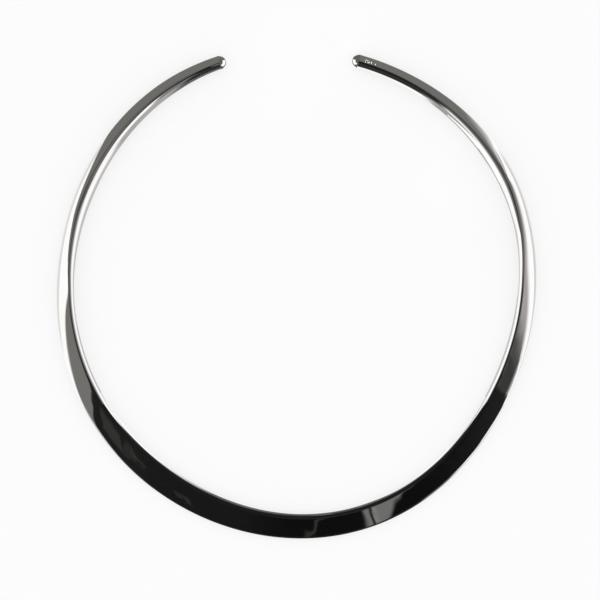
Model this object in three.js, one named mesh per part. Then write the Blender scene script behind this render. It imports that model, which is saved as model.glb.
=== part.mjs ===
// A plain silver neck ring (torc), lying flat: one bar of solid silver, bent into an open ring.
//
// The bar is round from each tip to the sides of the ring. From there it is forged out into a wide band
// across the front, thick along its inner edge and thinner along its outer edge, so that its upper face
// slopes gently outwards. The underside is trued flat and the whole ring lies on it.
//
// Millimetres, +Z up. The front of the ring is towards -Y, the opening between the tips towards +Y.
// The origin is the centre of the ring's footprint, on the surface that it lies on.

import * as THREE from "three";

// The ring's middle line, seen from above
const middleRadius = 64.5; // from the ring's own centre to the middle of the bar
const ovalBy = 0.93; // how far the ring is longer from front to back than a circle
const eggBy = 0.46; // how far it is fuller at the front than at the back
const skewBy = 0.5; // how far the hand bending pulls the left side out and the right side in
const leanBy = -0.12; // how far the long diameter leans
const opening = 35; // from the middle of one tip to the middle of the other
const openingShift = -2; // the middle of the opening, off the front-to-back line

// The bar's width, seen from above, at named places from the left tip round the front to the right tip
const leftTipWidth = 3.7;
const leftTaperWidth = 4.35;
const leftShoulderWidth = 4.97;
const leftWaistWidth = 4.65;
const leftCheekWidth = 5.88;
const leftBandWidth = 7.2;
const frontWidth = 6.7;
const rightBandWidth = 6.3;
const rightCheekWidth = 5.6;
const rightWaistWidth = 4.74;
const rightShoulderWidth = 5.1;
const rightTaperWidth = 3.97;
const rightTipWidth = 3.6;

// Where those places are, in degrees round the ring from the front
const bandAngle = 34;
const cheekAngle = 66;
const leftWaistAngle = 97;
const rightWaistAngle = 103;
const shoulderAngle = 119;
const taperAngle = 145;

// The forged band. The forging starts at an angle on each side, and the band is full at the front.
const leftForgingAngle = 90;
const rightForgingAngle = 95;
const slopeRun = 20; // degrees before the forging over which the top of the bar begins to slope outwards
const faceRun = 27; // degrees over which the sloping upper face grows to the band's full width
const thinningRun = 62; // degrees over which the bar is thinned to the band's thickness
const runSoftness = 0.12; // share of a run over which it sets in, and over which it ends
const bandThickness = 2.3; // at the middle of the band's width
const faceSlope = 10.5; // degrees that the upper face slopes outwards
const faceCrown = 2.3; // degrees that the upper face turns each way from its middle to its edges
const innerEdgeReach = 1.45; // width of the rounded upper inner edge, where the band meets the neck
const innerEdgeDepth = 1.1; // how far down that rounding goes
const outerEdge = 0.25; // rounding of the upper outer edge
const underEdge = 0.4; // rounding of both lower edges

const barFlat = 0.3; // width of the flat that the round bar rests on, and of those on its other sides
const tipRounding = 1.5; // of the edge round each cut tip
const tipFlat = 0.6; // least width of the flat that the rounding leaves in the middle of a tip

// Faces
const sectionStep = 3; // degrees of the ring between two sections
const edgeFaces = 5; // faces round each rounded edge of a section
const crownFaces = 3; // faces across the upper face
const tipFaces = 4; // rings of faces round the edge of a tip
const anglePasses = 12; // passes that settle the angle of a tip

const silver = new THREE.MeshStandardMaterial({ color: 0xd9dadb, roughness: 0.08, metalness: 1 });

const radians = THREE.MathUtils.degToRad;
const mix = THREE.MathUtils.lerp;
const quarter = Math.PI / 2;

// The rounding of a tip's edge, no more than the narrower tip has room for
const tipRoom = Math.min(leftTipWidth, rightTipWidth) - Math.max(barFlat, tipFlat);
const tipEdge = Math.min(tipRounding, tipRoom / 2);

// Distance from the ring's own centre to the middle of the bar, at an angle from the front
function middleAt(angle) {
  return (
    middleRadius +
    ovalBy * Math.cos(2 * angle) +
    leanBy * Math.sin(2 * angle) +
    eggBy * Math.cos(3 * angle) +
    skewBy * Math.sin(4 * angle)
  );
}

// The middle of the bar at an angle from the front, positive towards the right
function middlePoint(angle) {
  const radius = middleAt(angle);
  return new THREE.Vector2(radius * Math.sin(angle), -radius * Math.cos(angle));
}

// The direction that the bar runs in there, from the left tip towards the right one
function runAt(angle) {
  const step = 1e-4;
  return middlePoint(angle + step).sub(middlePoint(angle - step)).normalize();
}

// The angle at which the middle line is at a given distance x to the side, on the back half of the ring
function backAngleAt(x) {
  const side = Math.sign(x);
  let angle = Math.PI;
  for (let pass = 0; pass < anglePasses; pass += 1) {
    angle = Math.PI - Math.asin(Math.abs(x) / middleAt(side * angle));
  }
  return side * angle;
}
const leftTipAngle = backAngleAt(openingShift - opening / 2);
const rightTipAngle = backAngleAt(openingShift + opening / 2);

// The bar's width along the ring, smooth through its named places
const places = [
  [leftTipAngle, leftTipWidth],
  [radians(-taperAngle), leftTaperWidth],
  [radians(-shoulderAngle), leftShoulderWidth],
  [radians(-leftWaistAngle), leftWaistWidth],
  [radians(-cheekAngle), leftCheekWidth],
  [radians(-bandAngle), leftBandWidth],
  [0, frontWidth],
  [radians(bandAngle), rightBandWidth],
  [radians(cheekAngle), rightCheekWidth],
  [radians(rightWaistAngle), rightWaistWidth],
  [radians(shoulderAngle), rightShoulderWidth],
  [radians(taperAngle), rightTaperWidth],
  [rightTipAngle, rightTipWidth],
];

// The slope of the width at a place: that of the line through its two neighbours, and none at a tip
function slopeAt(index) {
  const before = places[index - 1];
  const after = places[index + 1];
  return before && after ? (after[1] - before[1]) / (after[0] - before[0]) : 0;
}

function widthAt(angle) {
  const next = THREE.MathUtils.clamp(
    places.findIndex((place) => place[0] > angle),
    1,
    places.length - 1,
  );
  const index = angle >= places[places.length - 1][0] ? places.length - 1 : next;
  const [from, fromWidth] = places[index - 1];
  const [to, toWidth] = places[index];
  const span = to - from;
  const t = THREE.MathUtils.clamp((angle - from) / span, 0, 1);
  return (
    (2 * t ** 3 - 3 * t ** 2 + 1) * fromWidth +
    (t ** 3 - 2 * t ** 2 + t) * span * slopeAt(index - 1) +
    (3 * t ** 2 - 2 * t ** 3) * toWidth +
    (t ** 3 - t ** 2) * span * slopeAt(index)
  );
}

// The value where it is above zero, and zero below, with a soft turn between
function beyondZero(value) {
  const soft = runSoftness;
  return Math.abs(value) > soft ? Math.max(value, 0) : (value + soft) ** 2 / (4 * soft);
}

// A share that grows from 0 to 1 along a run of degrees towards the front. It starts a number of degrees
// before the forging does.
function shareAt(angle, before, run) {
  const forging = angle < 0 ? leftForgingAngle : rightForgingAngle;
  const past = (forging + before - THREE.MathUtils.radToDeg(Math.abs(angle))) / run;
  return beyondZero(past) - beyondZero(past - 1);
}

// How far the top of the bar has taken its slope
function slopedAt(angle) {
  return shareAt(angle, slopeRun, slopeRun);
}

// How far the upper face has grown to the band's full width
function formedAt(angle) {
  return shareAt(angle, 0, faceRun);
}

// How far the bar is thinned to the band's thickness: fast at first, then less and less
function thinnedAt(angle) {
  const share = shareAt(angle, 0, thinningRun);
  return share * (2 - share);
}

// The outline of the bar's section at an angle: x runs outwards from the middle of the bar, y up from the
// underside. inset is how far the outline is drawn in all round, as at a tip.
function outlineAt(angle, inset) {
  const sloped = slopedAt(angle);
  const formed = formedAt(angle);
  const fullWidth = widthAt(angle);
  const half = fullWidth / 2 - inset;
  const thickness = mix(fullWidth, bandThickness, thinnedAt(angle)) - 2 * inset;
  const slope = radians(faceSlope) * sloped;
  const crown = radians(faceCrown) * formed;

  // The upper face, from its inner end to its outer one. Round the bar it is only a narrow flat.
  const barEdge = (fullWidth - barFlat) / 2 - inset;
  const faceStart = mix(barEdge, innerEdgeReach, sloped) - half;
  const faceEnd = half - mix(half - faceStart - barFlat, outerEdge, formed);
  const start = new THREE.Vector2(faceStart, thickness - faceStart * Math.tan(slope));
  const end = new THREE.Vector2(faceEnd, thickness - faceEnd * Math.tan(slope));

  // The sharp corners that the edges round off, and how far each rounding goes
  const innerHeight = start.y + (faceStart + half) * Math.tan(slope - crown);
  const outerHeight = end.y - (half - faceEnd) * Math.tan(slope + crown);
  const innerBarEdge = (innerHeight - barFlat) / 2;
  const outerBarEdge = (outerHeight - barFlat) / 2;
  const innerDepth = mix(innerBarEdge, innerEdgeDepth, sloped);
  const outerDepth = mix(outerBarEdge, outerEdge, formed);
  const underInner = mix(innerBarEdge, underEdge, formed);
  const underOuter = mix(outerBarEdge, underEdge, formed);
  const underReach = mix(barEdge, underEdge, formed);

  const points = [];
  // Adds a rounded edge from one point to another, each of which faces the sharp corner: an arc of a circle
  // where both are as far from it
  const addEdge = (from, corner, to) => {
    const turn = corner.clone().sub(from).angleTo(to.clone().sub(corner));
    for (let i = 0; i <= edgeFaces; i += 1) {
      const t = i / edgeFaces;
      const pull = 2 * t * (1 - t) * Math.cos(turn / 2);
      const point = from.clone().multiplyScalar((1 - t) ** 2);
      point.addScaledVector(corner, pull).addScaledVector(to, t ** 2);
      points.push(point.divideScalar((1 - t) ** 2 + pull + t ** 2));
    }
  };
  const at = (x, y) => new THREE.Vector2(x, y);

  addEdge(at(-half, innerHeight - innerDepth), at(-half, innerHeight), start);
  const up = at(Math.sin(slope), Math.cos(slope));
  for (let i = 1; i < crownFaces; i += 1) {
    const share = i / crownFaces;
    const bulge = start.distanceTo(end) * Math.tan(crown) * share * (1 - share);
    points.push(start.clone().lerp(end, share).addScaledVector(up, bulge));
  }
  addEdge(end, at(half, outerHeight), at(half, outerHeight - outerDepth));
  addEdge(at(half, underOuter), at(half, 0), at(half - underReach, 0));
  addEdge(at(underReach - half, 0), at(-half, 0), at(-half, underInner));
  return points.map((point) => point.setY(point.y + inset));
}

// The sections that round off a tip, from the bar outwards. side is -1 for the left tip and 1 for the right.
// beyond is how far a section stands past its angle, along the bar.
function tipSections(angle, side) {
  return Array.from({ length: tipFaces }, (_, i) => {
    const turn = (quarter * (i + 1)) / tipFaces;
    return {
      angle,
      beyond: side * tipEdge * Math.sin(turn),
      inset: tipEdge * (1 - Math.cos(turn)),
    };
  });
}

// All the sections, from the left tip round the front to the right tip
function sections() {
  const first = leftTipAngle + tipEdge / middleAt(leftTipAngle);
  const last = rightTipAngle - tipEdge / middleAt(rightTipAngle);
  const count = Math.round((last - first) / radians(sectionStep));
  const bar = Array.from({ length: count + 1 }, (_, i) => {
    return { angle: mix(first, last, i / count), beyond: 0, inset: 0 };
  });
  return [...tipSections(first, -1).reverse(), ...bar, ...tipSections(last, 1)];
}

// The bar as one closed surface: a loop of points for each section, joined to the next, with a face at each
// tip. The origin is put at the centre of the footprint.
function barGeometry() {
  const loops = sections().map(({ angle, beyond, inset }) => {
    const run = runAt(angle);
    const outwards = new THREE.Vector2(run.y, -run.x);
    const middle = middlePoint(angle).addScaledVector(run, beyond);
    return outlineAt(angle, inset).map((point) => {
      const place = middle.clone().addScaledVector(outwards, point.x);
      return new THREE.Vector3(place.x, place.y, point.y);
    });
  });

  const around = loops[0].length;
  const index = [];
  for (let loop = 0; loop < loops.length - 1; loop += 1) {
    for (let i = 0; i < around; i += 1) {
      const here = loop * around + i;
      const beside = loop * around + ((i + 1) % around);
      index.push(here, beside, here + around);
      index.push(beside, beside + around, here + around);
    }
  }
  const lastLoop = (loops.length - 1) * around;
  for (let i = 1; i < around - 1; i += 1) {
    index.push(0, i + 1, i);
    index.push(lastLoop, lastLoop + i, lastLoop + i + 1);
  }

  const geometry = new THREE.BufferGeometry().setFromPoints(loops.flat());
  geometry.setIndex(index);
  geometry.computeBoundingBox();
  const centre = geometry.boundingBox.getCenter(new THREE.Vector3());
  geometry.translate(-centre.x, -centre.y, 0);
  geometry.computeVertexNormals();
  return geometry;
}

const neckRing = new THREE.Mesh(barGeometry(), silver);
neckRing.name = "neck_ring";

const torc = new THREE.Group();
torc.add(neckRing);

export default torc;
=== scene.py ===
import math
from collections import namedtuple

import bmesh
import bpy
import numpy as np
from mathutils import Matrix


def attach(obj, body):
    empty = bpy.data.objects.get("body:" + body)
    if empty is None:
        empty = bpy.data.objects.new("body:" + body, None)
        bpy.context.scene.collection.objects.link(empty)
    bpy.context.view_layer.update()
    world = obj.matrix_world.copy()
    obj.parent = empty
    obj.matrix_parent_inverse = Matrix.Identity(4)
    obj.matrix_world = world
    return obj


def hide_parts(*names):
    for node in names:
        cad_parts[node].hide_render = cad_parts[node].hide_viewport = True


# A polished silver neck ring, lying flat on a pale studio floor and seen from straight above.
# Sizes are millimetres, and MM turns them into metres. The front of the ring is towards -Y.

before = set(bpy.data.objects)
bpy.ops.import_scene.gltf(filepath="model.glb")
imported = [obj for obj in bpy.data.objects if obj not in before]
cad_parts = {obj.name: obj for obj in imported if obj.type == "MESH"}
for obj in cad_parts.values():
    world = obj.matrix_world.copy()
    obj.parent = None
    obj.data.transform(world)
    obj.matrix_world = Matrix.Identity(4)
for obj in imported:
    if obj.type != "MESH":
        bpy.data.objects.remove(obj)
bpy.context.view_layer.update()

MM = 0.001

# The camera: the photograph is 600 pixels wide, and one of them is PIXEL millimetres at the ring
PIXEL = 0.276
PICTURE_PIXELS = 600
RING_CENTRE_PIXEL = (296.5, 296.7)
CAMERA_HEIGHT = 900.0
SENSOR = 36.0
CLIP = (0.01, 10.0)

# The ring's middle line, seen from above
MIDDLE_RADIUS = 64.5
OVAL_BY = 0.93
EGG_BY = 0.46
SKEW_BY = 0.5
LEAN_BY = -0.12
OPENING = 35.0
OPENING_SHIFT = -2.0

# The bar's width at named places, in degrees round the ring from the front, the left side negative
LEFT_TIP_WIDTH = 3.7
RIGHT_TIP_WIDTH = 3.6
WIDTHS = (
    (-145, 4.35),
    (-119, 4.97),
    (-97, 4.65),
    (-66, 5.88),
    (-34, 7.2),
    (0, 6.7),
    (34, 6.3),
    (66, 5.6),
    (103, 4.74),
    (119, 5.1),
    (145, 3.97),
)

# The forged band: degrees from the front, runs in degrees, and lengths. Before the forging starts, the top
# of the bar begins to slope outwards.
LEFT_FORGING_ANGLE = 90
RIGHT_FORGING_ANGLE = 95
SLOPE_RUN = 20
FACE_RUN = 27
THINNING_RUN = 62
RUN_SOFTNESS = 0.12
BAND_THICKNESS = 2.3
FACE_SLOPE = 10.5
FACE_CROWN = 2.3
INNER_EDGE_REACH = 1.45
INNER_EDGE_DEPTH = 1.1
OUTER_EDGE = 0.25
UNDER_EDGE = 0.4
BAR_FLAT = 0.06

# The tips: rounded ends that meet the bar at an edge. Their arc starts TIP_BREAK degrees round.
TIP_ROUNDING = 1.5
TIP_BREAK = 38

# The hand finish: a shallow unevenness that polishing leaves on the forged face. It comes from waves of
# different lengths, each at most UNEVEN_TURN radians off the bar's run.
UNEVEN_DEPTH = 0.014
UNEVEN_WAVES = 9
UNEVEN_LENGTHS = (3.5, 11.0)
UNEVEN_TURN = 0.9
UNEVEN_SEED = 11

# The stamped mark near the right tip: a row of strokes that aren't letters, each given by its distance from
# the tip and its slant. They run across the bar from STROKE_FROM to STROKE_TO beyond its middle.
STROKES = (
    (3.5, 0.10),
    (4.0, -0.22),
    (4.5, 0.18),
    (5.1, -0.12),
    (5.6, 0.24),
    (6.3, -0.06),
)
STROKE_FROM = 0.3
STROKE_TO = 1.15
STROKE_HALF_WIDTH = 0.21
STROKE_DEPTH = 0.1
MARK_REACH = (3.0, 6.9)

# The fine mesh. UPWARD is how far a point has to face up, from none to all of the finish and the mark.
POINTS_AROUND = 92
STEP_ALONG = 0.45
MARK_STEP = 0.04
TIP_LOOPS = 14
TIP_EDGE = 0.03
EDGE_POINTS = 28
FACE_POINTS = 40
TIP_PASSES = 12
UPWARD = (0.5, 0.95)


def middle_at(angle):
    """Distance from the ring's own centre to the middle of the bar."""
    return (
        MIDDLE_RADIUS
        + OVAL_BY * np.cos(2 * angle)
        + LEAN_BY * np.sin(2 * angle)
        + EGG_BY * np.cos(3 * angle)
        + SKEW_BY * np.sin(4 * angle)
    )


def middle_point(angle):
    radius = middle_at(angle)
    return np.array((radius * np.sin(angle), -radius * np.cos(angle)))


def run_at(angle):
    """The direction of the bar, from the left tip towards the right one."""
    step = 1e-4
    run = middle_point(angle + step) - middle_point(angle - step)
    return run / np.linalg.norm(run)


def tip_angle(x):
    """The angle at which the middle line is at x, on the back half of the ring."""
    side = math.copysign(1, x)
    angle = math.pi
    for _ in range(TIP_PASSES):
        angle = math.pi - math.asin(abs(x) / middle_at(side * angle))
    return side * angle


LEFT_TIP = tip_angle(OPENING_SHIFT - OPENING / 2)
RIGHT_TIP = tip_angle(OPENING_SHIFT + OPENING / 2)


def width_at(angle):
    """The bar's width: a smooth curve through the named places."""
    places = [(LEFT_TIP, LEFT_TIP_WIDTH)]
    places += [(math.radians(degrees), width) for degrees, width in WIDTHS]
    places += [(RIGHT_TIP, RIGHT_TIP_WIDTH)]
    at, width = np.array(places).T
    slope = np.zeros(len(at))
    slope[1:-1] = (width[2:] - width[:-2]) / (at[2:] - at[:-2])
    i = int(np.clip(np.searchsorted(at, angle, side="right") - 1, 0, len(at) - 2))
    span = at[i + 1] - at[i]
    t = min(max((angle - at[i]) / span, 0), 1)
    return (
        (2 * t**3 - 3 * t**2 + 1) * width[i]
        + (t**3 - 2 * t**2 + t) * span * slope[i]
        + (3 * t**2 - 2 * t**3) * width[i + 1]
        + (t**3 - t**2) * span * slope[i + 1]
    )


def beyond_zero(value):
    """The value where it is above zero, and zero below, with a soft turn between."""
    soft = RUN_SOFTNESS
    return max(value, 0) if abs(value) > soft else (value + soft) ** 2 / (4 * soft)


def share_at(angle, start, run):
    """A share that grows from 0 to 1 along a run of degrees towards the front."""
    forging = LEFT_FORGING_ANGLE if angle < 0 else RIGHT_FORGING_ANGLE
    past = (forging + start - math.degrees(abs(angle))) / run
    return beyond_zero(past) - beyond_zero(past - 1)


def sloped_at(angle):
    """How far the top of the bar has taken its slope."""
    return share_at(angle, SLOPE_RUN, SLOPE_RUN)


def formed_at(angle):
    """How far the upper face has grown to the band's full width."""
    return share_at(angle, 0, FACE_RUN)


def thinned_at(angle):
    """How far the bar is thinned to the band's thickness: fast at first, then less and less."""
    share = share_at(angle, 0, THINNING_RUN)
    return share * (2 - share)


def mix(a, b, t):
    return a + (b - a) * t


def smooth(value, low, high):
    t = np.clip((value - low) / (high - low), 0, 1)
    return t * t * (3 - 2 * t)


def edge(start, corner, end):
    """Points of a rounded edge, from start to end, each of which faces the sharp corner."""
    start, corner, end = (np.array(point) for point in (start, corner, end))
    into, out = corner - start, end - corner
    turn = math.acos(into @ out / (np.linalg.norm(into) * np.linalg.norm(out)))
    t = np.linspace(0, 1, EDGE_POINTS)[:, None]
    pull = 2 * t * (1 - t) * math.cos(turn / 2)
    return ((1 - t) ** 2 * start + pull * corner + t**2 * end) / ((1 - t) ** 2 + pull + t**2)


def outline_at(angle, inset):
    """The bar's section: x runs outwards, y up from the underside."""
    sloped, formed = sloped_at(angle), formed_at(angle)
    full_width = width_at(angle)
    half = full_width / 2 - inset
    thickness = mix(full_width, BAND_THICKNESS, thinned_at(angle)) - 2 * inset
    slope = math.radians(FACE_SLOPE) * sloped
    crown = math.radians(FACE_CROWN) * formed
    bar_edge = (full_width - BAR_FLAT) / 2 - inset

    face_start = mix(bar_edge, INNER_EDGE_REACH, sloped) - half
    face_end = half - mix(half - face_start - BAR_FLAT, OUTER_EDGE, formed)
    start = np.array((face_start, thickness - face_start * math.tan(slope)))
    end = np.array((face_end, thickness - face_end * math.tan(slope)))
    inner_height = start[1] + (face_start + half) * math.tan(slope - crown)
    outer_height = end[1] - (half - face_end) * math.tan(slope + crown)
    inner_bar_edge = (inner_height - BAR_FLAT) / 2
    outer_bar_edge = (outer_height - BAR_FLAT) / 2
    inner_depth = mix(inner_bar_edge, INNER_EDGE_DEPTH, sloped)
    outer_depth = mix(outer_bar_edge, OUTER_EDGE, formed)
    under_inner = mix(inner_bar_edge, UNDER_EDGE, formed)
    under_outer = mix(outer_bar_edge, UNDER_EDGE, formed)
    under_reach = mix(bar_edge, UNDER_EDGE, formed)

    share = np.linspace(0, 1, FACE_POINTS)[1:-1, None]
    bulge = np.linalg.norm(end - start) * math.tan(crown) * share * (1 - share)
    up = np.array((math.sin(slope), math.cos(slope)))
    outline = np.vstack(
        (
            edge((-half, inner_height - inner_depth), (-half, inner_height), start),
            start + (end - start) * share + bulge * up,
            edge(end, (half, outer_height), (half, outer_height - outer_depth)),
            edge((half, under_outer), (half, 0), (half - under_reach, 0)),
            edge((under_reach - half, 0), (-half, 0), (-half, under_inner)),
        )
    )
    outline[:, 1] += inset
    return outline


def even_loop(outline):
    """The outline with POINTS_AROUND points, closest where it turns. Gives them and the ways they face."""
    closed = np.vstack((outline, outline[:1]))
    step = np.diff(closed, axis=0)
    length = np.linalg.norm(step, axis=1)
    heading = np.unwrap(np.arctan2(step[:, 1], step[:, 0]))
    turn = np.abs(np.diff(heading, append=heading[0] - 2 * math.pi))
    weight = length / length.sum() + np.roll(turn, 1) / (2 * math.pi)
    place = np.concatenate(([0], np.cumsum(weight)))
    wanted = np.linspace(0, place[-1], POINTS_AROUND, endpoint=False)
    x = np.interp(wanted, place, closed[:, 0])
    y = np.interp(wanted, place, closed[:, 1])
    loop = np.stack((x, y), 1)
    along = np.roll(loop, -1, 0) - np.roll(loop, 1, 0)
    along /= np.linalg.norm(along, axis=1)[:, None]
    facing = np.stack((-along[:, 1], along[:, 0]), 1)
    return loop, facing


def sections():
    """Every section of the fine mesh as (angle, how far it stands beyond it, inset)."""
    left_room = TIP_ROUNDING / middle_at(LEFT_TIP)
    right_room = TIP_ROUNDING / middle_at(RIGHT_TIP)
    first, last = LEFT_TIP + left_room, RIGHT_TIP - right_room
    near, far = MARK_REACH
    mark_end = RIGHT_TIP - near / MIDDLE_RADIUS
    mark_start = RIGHT_TIP - far / MIDDLE_RADIUS
    reaches = (
        (first, mark_start, STEP_ALONG),
        (mark_start, mark_end, MARK_STEP),
        (mark_end, last, STEP_ALONG),
    )
    angles = []
    for start, end, step in reaches:
        count = max(2, round((end - start) * MIDDLE_RADIUS / step))
        angles += list(np.linspace(start, end, count, endpoint=False))
    angles.append(last)
    start = math.radians(TIP_BREAK)
    tip = [(0, 0)]
    for turn in np.linspace(start, math.pi / 2, TIP_LOOPS):
        beyond = (math.sin(turn) - math.sin(start)) / (1 - math.sin(start))
        inset = 1 - math.cos(turn) / math.cos(start)
        tip.append((TIP_EDGE + (TIP_ROUNDING - TIP_EDGE) * beyond, TIP_EDGE / 2 + TIP_ROUNDING * inset))
    left = [(first, -beyond, inset) for beyond, inset in reversed(tip)]
    right = [(last, beyond, inset) for beyond, inset in tip]
    return left + [(angle, 0, 0) for angle in angles[1:-1]] + right


def unevenness():
    """A smooth random surface over distance along and across the bar, from 0 to 1."""
    draw = np.random.default_rng(UNEVEN_SEED)
    waves = []
    for _ in range(UNEVEN_WAVES):
        length = draw.uniform(*UNEVEN_LENGTHS)
        heading = draw.uniform(-UNEVEN_TURN, UNEVEN_TURN)
        phase = draw.uniform(0, 2 * math.pi)
        waves.append((math.cos(heading) / length, math.sin(heading) / length, phase))

    def surface(along, across):
        turns = (2 * math.pi * (fx * along + fy * across) + phase for fx, fy, phase in waves)
        return 0.5 + 0.5 * sum(np.sin(turn) for turn in turns) / UNEVEN_WAVES

    return surface


def stroke_depth(from_tip, across):
    """How deep the stamped strokes are, at a distance from the right tip and across the bar."""
    depth = np.zeros_like(across)
    middle = (STROKE_FROM + STROKE_TO) / 2
    half = (STROKE_TO - STROKE_FROM) / 2
    for place, slant in STROKES:
        aside = np.abs(from_tip - place - slant * (across - middle))
        beyond = np.maximum(np.abs(across - middle) - half, 0)
        reach = np.hypot(aside, beyond) / STROKE_HALF_WIDTH
        depth = np.maximum(depth, STROKE_DEPTH * (1 - smooth(reach, 0, 1)))
    return depth


def ring_mesh():
    """The whole bar as one closed, finely divided surface."""
    surface = unevenness()
    loops, uvs = [], []
    along = 0
    previous = None
    for angle, beyond, inset in sections():
        loop, facing = even_loop(outline_at(angle, inset))
        run = run_at(angle)
        outwards = np.array((run[1], -run[0]))
        middle = middle_point(angle) + run * beyond
        along += 0 if previous is None else np.linalg.norm(middle - previous)
        previous = middle
        from_tip = np.full(len(loop), (RIGHT_TIP - angle) * MIDDLE_RADIUS)
        upward = smooth(facing[:, 1], *UPWARD)
        depth = UNEVEN_DEPTH * formed_at(angle) * upward * surface(along, loop[:, 0])
        depth += upward * stroke_depth(from_tip, loop[:, 0])
        loop = loop - facing * depth[:, None]
        place = middle + outwards * loop[:, :1]
        loops.append(np.column_stack((place, loop[:, 1])))
        uvs.append([(along, i / POINTS_AROUND) for i in range(POINTS_AROUND + 1)])

    points = np.array(loops)
    centre = (points.min((0, 1)) + points.max((0, 1))) / 2
    points -= (centre[0], centre[1], 0)
    count = len(loops)
    vertices = [tuple(p) for p in points.reshape(-1, 3) * MM]
    faces, corners = [], []
    for loop in range(count - 1):
        for i in range(POINTS_AROUND):
            j = (i + 1) % POINTS_AROUND
            here, ahead = loop * POINTS_AROUND, (loop + 1) * POINTS_AROUND
            faces.append((here + i, ahead + i, ahead + j, here + j))
            corners += [uvs[loop][i], uvs[loop + 1][i], uvs[loop + 1][i + 1], uvs[loop][i + 1]]
    last = (count - 1) * POINTS_AROUND
    faces.append(tuple(range(POINTS_AROUND)))
    corners += [uvs[0][i] for i in range(POINTS_AROUND)]
    faces.append(tuple(last + i for i in reversed(range(POINTS_AROUND))))
    corners += [uvs[-1][i] for i in reversed(range(POINTS_AROUND))]

    mesh = bpy.data.meshes.new("neck_ring_fine")
    mesh.from_pydata(vertices, [], faces)
    layer = mesh.uv_layers.new(name="bar")
    layer.data.foreach_set("uv", np.array(corners, np.float32).ravel())
    mesh.shade_smooth()
    return mesh


def add_node(tree, kind, **values):
    """A node, with named inputs set or linked and other names set on the node itself."""
    node = tree.nodes.new(kind)
    for name, value in values.items():
        if name in node.inputs:
            if isinstance(value, bpy.types.NodeSocket):
                tree.links.new(value, node.inputs[name])
            else:
                node.inputs[name].default_value = value
        else:
            setattr(node, name, value)
    return node


def math_node(tree, operation, *inputs):
    node = tree.nodes.new("ShaderNodeMath")
    node.operation = operation
    for socket, value in zip(node.inputs, inputs):
        if isinstance(value, bpy.types.NodeSocket):
            tree.links.new(value, socket)
        else:
            socket.default_value = value
    return node.outputs[0]


def step_node(tree, value, low, high):
    """0 where value is below low, 1 above high, and smooth between. low may be above high."""
    node = tree.nodes.new("ShaderNodeMapRange")
    node.interpolation_type = "SMOOTHSTEP"
    tree.links.new(value, node.inputs["Value"])
    node.inputs["From Min"].default_value = min(low, high)
    node.inputs["From Max"].default_value = max(low, high)
    node.inputs["To Min"].default_value = 0 if low < high else 1
    node.inputs["To Max"].default_value = 1 if low < high else 0
    return node.outputs["Result"]


# The metal: its colour clean and tarnished, and the roughness that hairlines and wear add to the polish
SILVER = (0.935, 0.93, 0.915, 1)
TARNISHED = (0.91, 0.895, 0.865, 1)
CLOUD_SCALE = 90.0
TARNISH_RANGE = (0.45, 0.75)
HAIR_STRETCH = (0.12, 60.0, 1.0)
HAIR_SCALE = 4.0
HAIR_RANGE = (0.58, 0.7)
WEAR_SCALE = 260.0
WEAR_RANGE = (0.5, 0.8)
POLISH_ROUGHNESS = 0.02
HAIR_ROUGHNESS = 0.015
WEAR_ROUGHNESS = 0.03


def polished_silver():
    """Silver polished to a mirror, with fine hairlines along the bar and faint wear."""
    material = bpy.data.materials.new("polished_silver")
    material.use_nodes = True
    tree = material.node_tree
    shader = tree.nodes["Principled BSDF"]
    shader.inputs["Metallic"].default_value = 1.0

    bar = tree.nodes.new("ShaderNodeUVMap")
    bar.uv_map = "bar"
    place = add_node(tree, "ShaderNodeTexCoord").outputs["Object"]

    # Faint clouds of warm tarnish
    clouds = add_node(tree, "ShaderNodeTexNoise", Vector=place, Scale=CLOUD_SCALE, Detail=4.0)
    tarnish = step_node(tree, clouds.outputs["Fac"], *TARNISH_RANGE)
    colour = tree.nodes.new("ShaderNodeMix")
    colour.data_type = "RGBA"
    tree.links.new(tarnish, colour.inputs[0])
    colour.inputs[6].default_value = SILVER
    colour.inputs[7].default_value = TARNISHED
    tree.links.new(colour.outputs[2], shader.inputs["Base Color"])

    # Hairlines: noise drawn out along the bar
    stretch = add_node(tree, "ShaderNodeMapping", Vector=bar.outputs["UV"])
    stretch.inputs["Scale"].default_value = HAIR_STRETCH
    drawn_out = stretch.outputs["Vector"]
    hairs = add_node(tree, "ShaderNodeTexNoise", Vector=drawn_out, Scale=HAIR_SCALE, Detail=3.0)
    lines = step_node(tree, hairs.outputs["Fac"], *HAIR_RANGE)
    wear = add_node(tree, "ShaderNodeTexNoise", Vector=place, Scale=WEAR_SCALE, Detail=5.0)
    worn = step_node(tree, wear.outputs["Fac"], *WEAR_RANGE)
    rough = math_node(tree, "MULTIPLY_ADD", lines, HAIR_ROUGHNESS, POLISH_ROUGHNESS)
    rough = math_node(tree, "MULTIPLY_ADD", worn, WEAR_ROUGHNESS, rough)
    tree.links.new(rough, shader.inputs["Roughness"])

    return material


FLOOR_HALF = 1500.0
FLOOR_GREY = 0.25
FLOOR_GLOW = 0.71
FLOOR_ROUGHNESS = 0.6
FLOOR_SPECULAR = 0.2


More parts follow.
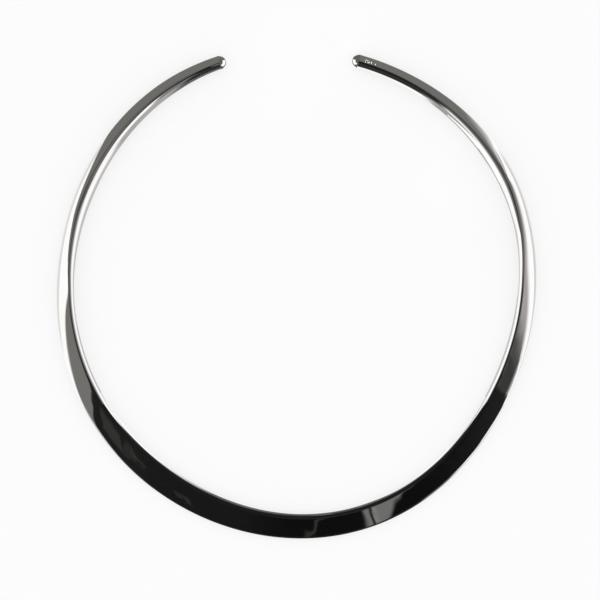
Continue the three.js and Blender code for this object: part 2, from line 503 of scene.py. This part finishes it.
def pale_floor():
    """A white table, lit from below as well, so that the ring throws hardly any shadow."""
    mesh = bpy.data.meshes.new("floor")
    build = bmesh.new()
    bmesh.ops.create_grid(build, x_segments=1, y_segments=1, size=FLOOR_HALF * MM)
    build.to_mesh(mesh)
    build.free()
    floor = bpy.data.objects.new("floor", mesh)
    bpy.context.scene.collection.objects.link(floor)
    material = bpy.data.materials.new("floor_white")
    material.use_nodes = True
    shader = material.node_tree.nodes["Principled BSDF"]
    shader.inputs["Base Color"].default_value = (FLOOR_GREY, FLOOR_GREY, FLOOR_GREY, 1)
    shader.inputs["Emission Color"].default_value = (1, 1, 1, 1)
    shader.inputs["Emission Strength"].default_value = FLOOR_GLOW
    shader.inputs["Roughness"].default_value = FLOOR_ROUGHNESS
    shader.inputs["Specular IOR Level"].default_value = FLOOR_SPECULAR
    mesh.materials.append(material)
    floor.visible_glossy = False


# Small cards that only the metal sees:
# - one curves close behind each tip, with a lower edge through (degrees from the front, height), and the
#   start of the right one fades into white downwards
# - a dark one lies above the front's inner edge
# - a white one stands inside the right shoulder, and grey ones lie under the sides, for their inner edges
# - a flat dark one with a white window stands in the opening, for the ends of the bar, and a shield hides
#   it from the front
# - a white one near the right tip lights the stamped mark, and a shield hides it from the tip
TIP_CARD_RADIUS = 70.5
TIP_CARD_TOP = 32.0
LEFT_TIP_CARD = (
    (-99, 20.0),
    (-110, 11.6),
    (-120, 8.0),
    (-129, 2.6),
    (-133.5, -4.0),
    (-137, -10.0),
    (-163.5, -10.0),
)
RIGHT_TIP_CARD = ((124, 8.0), (128, 4.0), (137, 0.0), (152, -10.0), (165.5, -10.0))
CARD_STEP = 1.5
TIP_CARD_LIGHT = (0.165, 0.162, 0.153)
TIP_FADE_TOP = ((120.5, 20.0), (122, 18.0), (125, 16.0), (130, 11.0), (135, 8.0), (140, 3.0))
TIP_FADE_RADIUS = 70.3
TIP_FADE_DEPTH = 9.0
TIP_FADE_ROWS = 9
TIP_FADE_LIGHT = 0.8
FRONT_CARD_SECTOR = (-60.0, 60.0)
FRONT_CARD_RADII = (40.0, 61.5)
FRONT_CARD_TAPER = 15.0
FRONT_CARD_HEIGHT = 16.0
FRONT_CARD_LIGHT = (0.012, 0.012, 0.012)
INNER_FLOOR_SECTORS = {"left": (-130.0, -64.0), "right": (62.0, 130.0)}
INNER_FLOOR_RADII = (50.0, 60.5)
INNER_FLOOR_HEIGHT = -2.0
INNER_FLOOR_LIGHT = (0.5, 0.49, 0.49)
SHOULDER_CARD_TOP = ((120, 12.0), (131, 12.0), (141, 0.0))
SHOULDER_CARD_LOW = -7.0
SHOULDER_CARD_RADIUS = 52.0
MARK_CARD_SECTOR = (165.5, 169.5)
MARK_CARD_LOW = -4.0
MARK_CARD_LIGHT = (3.0, 3.0, 3.0)
MARK_SHIELD_SIDES = (11.0, 17.6)
MARK_SHIELD_AT = 67.2
OPENING_CARD = ((20.0, -300.0), (100.0, 60.0))
OPENING_CARD_LIGHT = (0.12, 0.12, 0.12)
OPENING_WINDOW = ((50.0, -10.0), (76.0, 12.0))
OPENING_SHIELD_SIDES = (-4.0, 0.0)
OPENING_SHIELD_AT = 46.0
WHITE_CARD_LIGHT = (1.1, 1.1, 1.1)


def small_card(name, points, faces, light):
    """A card that glows and shows in the metal alone. light is one colour, or one for each point."""
    mesh = bpy.data.meshes.new(name)
    mesh.from_pydata((np.array(points) * MM).tolist(), [], faces)
    material = bpy.data.materials.new(name)
    material.use_nodes = True
    shader = material.node_tree.nodes["Principled BSDF"]
    shader.inputs["Base Color"].default_value = (0, 0, 0, 1)
    shader.inputs["Specular IOR Level"].default_value = 0
    if np.ndim(light) == 1:
        shader.inputs["Emission Color"].default_value = (*light, 1)
    else:
        glow = mesh.color_attributes.new("glow", "FLOAT_COLOR", "POINT")
        glow.data.foreach_set("color", np.column_stack((light, np.ones(len(points)))).ravel())
        stored = add_node(material.node_tree, "ShaderNodeAttribute", attribute_name="glow")
        material.node_tree.links.new(stored.outputs["Color"], shader.inputs["Emission Color"])
    shader.inputs["Emission Strength"].default_value = 1
    mesh.materials.append(material)
    card = bpy.data.objects.new(name, mesh)
    bpy.context.scene.collection.objects.link(card)
    card.visible_camera = False
    card.visible_diffuse = False
    card.visible_shadow = False


def card_turns(sector):
    count = round(abs(sector[1] - sector[0]) / CARD_STEP)
    return np.radians(np.linspace(*sector, count))


def curved_card(name, turns, rows, light):
    """A card that curves round the ring, through rows of points that each have a radius and a height."""
    points = []
    for radius, height in rows:
        level = np.broadcast_to(height, turns.shape)
        points.append(np.stack((radius * np.sin(turns), -radius * np.cos(turns), level), 1))
    count = len(turns)
    starts = [row * count + i for row in range(len(rows) - 1) for i in range(count - 1)]
    faces = [(start, start + 1, start + count + 1, start + count) for start in starts]
    small_card(name, np.vstack(points), faces, light)


def tip_card(name, lower_edge):
    sector, low = np.array(sorted(lower_edge)).T
    turns = card_turns((sector[0], sector[-1]))
    low = np.interp(np.degrees(turns), sector, low)
    edges = [(TIP_CARD_RADIUS, height) for height in (low, TIP_CARD_TOP)]
    curved_card(name, turns, edges, TIP_CARD_LIGHT)


def tip_fade():
    """The soft start of the right tip card, just in front of it: from its own grey to nearly white below."""
    sector, top = np.array(TIP_FADE_TOP).T
    turns = card_turns((sector[0], sector[-1]))
    top = np.interp(np.degrees(turns), sector, top)
    shares = np.linspace(0, 1, TIP_FADE_ROWS)
    rows = [(TIP_FADE_RADIUS, top - TIP_FADE_DEPTH * share) for share in shares]
    grey = np.array(TIP_CARD_LIGHT)
    light = grey + (TIP_FADE_LIGHT - grey) * np.repeat(shares, len(turns))[:, None] ** 2
    curved_card("tip_fade", turns, rows, light)


def front_card():
    turns = card_turns(FRONT_CARD_SECTOR)
    near, far = FRONT_CARD_RADII
    tapered = near + FRONT_CARD_TAPER * np.linspace(-1, 1, len(turns)) ** 4
    edges = [(radius, FRONT_CARD_HEIGHT) for radius in (tapered, far)]
    curved_card("front_card", turns, edges, FRONT_CARD_LIGHT)


def inner_floor_cards():
    edges = [(radius, INNER_FLOOR_HEIGHT) for radius in INNER_FLOOR_RADII]
    for side, sector in INNER_FLOOR_SECTORS.items():
        curved_card(f"{side}_inner_floor", card_turns(sector), edges, INNER_FLOOR_LIGHT)


def shoulder_card():
    sector, top = np.array(SHOULDER_CARD_TOP).T
    turns = card_turns((sector[0], sector[-1]))
    top = np.interp(np.degrees(turns), sector, top)
    edges = [(SHOULDER_CARD_RADIUS, height) for height in (SHOULDER_CARD_LOW, top)]
    curved_card("shoulder_card", turns, edges, WHITE_CARD_LIGHT)


def shield(name, sides, y, heights):
    left, right = sides
    low, high = heights
    points = ((left, y, low), (right, y, low), (right, y, high), (left, y, high))
    small_card(name, points, [(0, 1, 2, 3)], OPENING_CARD_LIGHT)


def mark_card():
    edges = [(TIP_CARD_RADIUS, height) for height in (MARK_CARD_LOW, TIP_CARD_TOP)]
    curved_card("mark_card", card_turns(MARK_CARD_SECTOR), edges, MARK_CARD_LIGHT)
    shield("mark_shield", MARK_SHIELD_SIDES, MARK_SHIELD_AT, (MARK_CARD_LOW, TIP_CARD_TOP))


def opening_cards():
    points = []
    for (near, low), (far, high) in (OPENING_CARD, OPENING_WINDOW):
        for y, z in ((near, low), (far, low), (far, high), (near, high)):
            points.append((OPENING_SHIFT, y, z))
    border = [(i, (i + 1) % 4, 4 + (i + 1) % 4, 4 + i) for i in range(4)]
    small_card("opening_card", points, border, OPENING_CARD_LIGHT)
    small_card("opening_window", points[4:], [(0, 1, 2, 3)], WHITE_CARD_LIGHT)
    heights = (OPENING_WINDOW[0][1], OPENING_WINDOW[1][1])
    shield("opening_shield", OPENING_SHIELD_SIDES, OPENING_SHIELD_AT, heights)


# The studio seen in the metal. Each card covers a sector round the ring, in degrees from the front with
# the right positive, and a range of tilt from straight up. A later card lies over the ones before it.
# A slant moves the card's left and right limits by so many degrees per degree of tilt beyond FACE_TILT.
Card = namedtuple(
    "Card",
    "sector tilt light side_soft tilt_soft slant",
    defaults=((2, 2), (2, 2), (0, 0)),
)
FACE_TILT = 25
ROUND = (-200, 200)
BACK_WALL = 0.055
LEFT_STEP = -49.9
RIGHT_STEP = 53.4
CARDS = {
    "back_high": Card(ROUND, (-10, 50), 0.01, tilt_soft=(1, 14)),
    "far_floor": Card(ROUND, (95, 190), 0.15, tilt_soft=(8, 1)),
    "back_floor_right": Card((120, 152), (85, 190), 1.0, (4, 4), (4, 1)),
    "back_floor_left": Card((-152, -120), (85, 190), 1.0, (4, 4), (4, 1)),
    "back_rim_right": Card((120, 152), (128, 190), 0.03, (4, 4), (4, 1)),
    "back_rim_left": Card((-152, -120), (128, 190), 0.03, (4, 4), (4, 1)),
    "back_corner_right": Card((106, 130), (-10, 70), 0.08, (3, 3), (1, 8)),
    "front_low": Card((-62, 47), (31, 100), 0.03),
    "front_right": Card((34, 47), (31, 100), 0.18),
    "left_ceiling": Card((-104, -47), (-10, 60), (0.175, 0.17, 0.16), (4, 1)),
    "right_card": Card((43, 119), (25, 190), 1.05, (3, 2), (3, 1), (0, 0.2)),
    "left_card": Card((-110, -44), (41, 190), 1.05, (2, 3), (12, 1), (-0.3, 0)),
    "left_side_card": Card((-110, -86), (22, 190), 1.05, (2, 4), (3, 1), (-0.3, 0.8)),
    "right_floor": Card((46, 124), (88, 190), (0.66, 0.65, 0.66), (4, 4), (4, 1)),
    "left_floor": Card((-127, -78), (86, 190), (0.75, 0.74, 0.75), (4, 5), (4, 1)),
    "right_near_floor": Card((46, 124), (122, 190), 0.82, (4, 4), (8, 1)),
    "left_near_floor": Card((-127, -78), (122, 190), 0.88, (4, 5), (8, 1)),
    "right_corner": Card((36, 57), (66, 190), 0.42, (3, 3), (6, 1)),
    "left_corner": Card((-60, -36), (62, 190), 0.36, (4, 3), (7, 1)),
    "right_ceiling": Card((46, 112), (-10, 29.3), 0.042, (2, 4), (1, 2)),
    "right_step": Card((58.8, 112), (-10, 29.3), 0.07, (0.8, 4), (1, 2), (0.33, 0)),
    "right_glow": Card((65, 112), (-10, 38), (0.39, 0.37, 0.375), (5, 4), (1, 14)),
    "zenith": Card(ROUND, (-10, 21), (0.075, 0.073, 0.07)),
    "zenith_right": Card((60, 130), (-10, 21), (0.15, 0.145, 0.145), (6, 10)),
    "front_hood": Card((LEFT_STEP, RIGHT_STEP), (4, 31), 0.0045, (0.5, 0.9), (2, 1.5), (0.35, 0.4)),
    "hood_middle": Card((-40, -10), (4, 31), 0.0095, (4, 9), (2, 1.5)),
    "hood_left": Card((LEFT_STEP, -34), (4, 31), 0.0125, (0.5, 4), (2, 1.5), (0.35, 0)),
    "hood_right": Card((45, RIGHT_STEP), (4, 31), 0.0145, (10, 0.9), (2, 1.5), (0, 0.4)),
    "hood_patch": Card((-46, -39.5), (22.3, 27.3), (0.033, 0.033, 0.03), (0.5, 0.6), (1, 0.7), (0.3, 0.5)),
    "hood_patch_end": Card((-38.5, -36), (21, 26), (0.03, 0.03, 0.027), (0.4, 0.7), (1, 0.8), (-0.3, 0.5)),
    "hood_smudge": Card((-31.5, -28.5), (25, 27.3), 0.027, (0.6, 0.8), (0.7, 0.7), (1, 1)),
    "hood_fleck": Card((-35, -34.2), (23.6, 24.6), 0.055, (0.3, 0.4), (0.4, 0.4), (1.5, 1.5)),
    "streak": Card((2.2, 3.7), (14, 31), (0.03, 0.03, 0.026), (0.5, 0.3), (3, 1.5), (-0.28, -0.4)),
    "window_left": Card((17.8, 19.8), (14, 31), 0.165, (1.2, 0.25), (3, 1.5), (0, -0.03)),
    "window_right": Card((20.5, 26.3), (14, 31), 0.165, (0.2, 1.3), (3, 1.5), (-0.03, -0.6)),
    "window_edge": Card((20.5, 21.2), (14, 31), 0.22, (0.2, 0.6), (3, 1.5), (-0.03, -0.03)),
}
BACKDROP = 0.98


def studio():
    """The world: the cards for rays that leave the metal, and a plain pale backdrop for all others."""
    world = bpy.data.worlds.new("studio")
    bpy.context.scene.world = world
    world.use_nodes = True
    tree = world.node_tree
    tree.nodes.clear()
    out = tree.nodes.new("ShaderNodeOutputWorld")
    way = add_node(tree, "ShaderNodeTexCoord").outputs["Generated"]
    split = add_node(tree, "ShaderNodeSeparateXYZ", Vector=way)
    x, y, z = split.outputs
    back = math_node(tree, "MULTIPLY", y, -1.0)
    sector = math_node(tree, "DEGREES", math_node(tree, "ARCTAN2", x, back))
    tilt = math_node(tree, "DEGREES", math_node(tree, "ARCCOSINE", z))

    past_face = math_node(tree, "SUBTRACT", tilt, FACE_TILT)
    light = (BACK_WALL, BACK_WALL, BACK_WALL, 1)
    for name, card in CARDS.items():
        low_soft, high_soft = card.tilt_soft
        sides = [
            step_node(tree, tilt, card.tilt[0] - low_soft, card.tilt[0] + low_soft),
            step_node(tree, tilt, card.tilt[1] + high_soft, card.tilt[1] - high_soft),
        ]
        if card.sector != ROUND:
            half = (card.sector[1] - card.sector[0]) / 2
            left_soft, right_soft = card.side_soft
            aside = math_node(tree, "SUBTRACT", sector, card.sector[0] + half)
            aside = math_node(tree, "WRAP", aside, 180.0, -180.0)
            past_left = math_node(tree, "MULTIPLY_ADD", past_face, -card.slant[0], aside)
            past_right = math_node(tree, "MULTIPLY_ADD", past_face, -card.slant[1], aside)
            sides.append(step_node(tree, past_left, -half - left_soft, -half + left_soft))
            sides.append(step_node(tree, past_right, half + right_soft, half - right_soft))
        mask = 1.0
        for side in sides:
            mask = math_node(tree, "MULTIPLY", mask, side)
        layer = add_node(tree, "ShaderNodeMix", data_type="RGBA", label=name)
        tree.links.new(mask, layer.inputs[0])
        if isinstance(light, bpy.types.NodeSocket):
            tree.links.new(light, layer.inputs[6])
        else:
            layer.inputs[6].default_value = light
        layer.inputs[7].default_value = (*np.broadcast_to(card.light, 3), 1)
        light = layer.outputs[2]

    studio_light = add_node(tree, "ShaderNodeBackground", Color=light)
    backdrop = add_node(tree, "ShaderNodeBackground", Color=(BACKDROP, BACKDROP, BACKDROP, 1))
    seen = tree.nodes.new("ShaderNodeLightPath")
    choose = tree.nodes.new("ShaderNodeMixShader")
    tree.links.new(seen.outputs["Is Glossy Ray"], choose.inputs[0])
    tree.links.new(backdrop.outputs[0], choose.inputs[1])
    tree.links.new(studio_light.outputs[0], choose.inputs[2])
    tree.links.new(choose.outputs[0], out.inputs["Surface"])


SOFTBOX_HEIGHT = 900.0
SOFTBOX_SIZE = 1400.0
SOFTBOX_WATTS = 1.0


def softbox():
    """A wide soft light overhead that brightens the floor and doesn't show in the metal."""
    light = bpy.data.lights.new("softbox", "AREA")
    light.shape = "DISK"
    light.size = SOFTBOX_SIZE * MM
    light.energy = SOFTBOX_WATTS
    lamp = bpy.data.objects.new("softbox", light)
    lamp.location = (0, 0, SOFTBOX_HEIGHT * MM)
    lamp.visible_glossy = False
    bpy.context.scene.collection.objects.link(lamp)


def camera():
    """Straight above the ring, with the picture's centre where the photograph has it."""
    lens = bpy.data.cameras.new("camera")
    lens.sensor_width = SENSOR
    lens.lens = SENSOR * CAMERA_HEIGHT / (PICTURE_PIXELS * PIXEL)
    lens.clip_start, lens.clip_end = CLIP
    seen_from = bpy.data.objects.new("camera", lens)
    middle = PICTURE_PIXELS / 2
    x = (middle - RING_CENTRE_PIXEL[0]) * PIXEL
    y = (RING_CENTRE_PIXEL[1] - middle) * PIXEL
    seen_from.location = (x * MM, y * MM, CAMERA_HEIGHT * MM)
    bpy.context.scene.collection.objects.link(seen_from)
    bpy.context.scene.camera = seen_from


scene = bpy.context.scene
scene.view_settings.view_transform = "Standard"
scene.view_settings.look = "None"

camera()
studio()
softbox()
pale_floor()
tip_card("left_tip_card", LEFT_TIP_CARD)
tip_card("right_tip_card", RIGHT_TIP_CARD)
tip_fade()
front_card()
inner_floor_cards()
shoulder_card()
mark_card()
opening_cards()

ring = bpy.data.objects.new("neck_ring_silver", ring_mesh())
scene.collection.objects.link(ring)
ring.data.materials.append(polished_silver())
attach(ring, "root")
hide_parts("neck_ring")
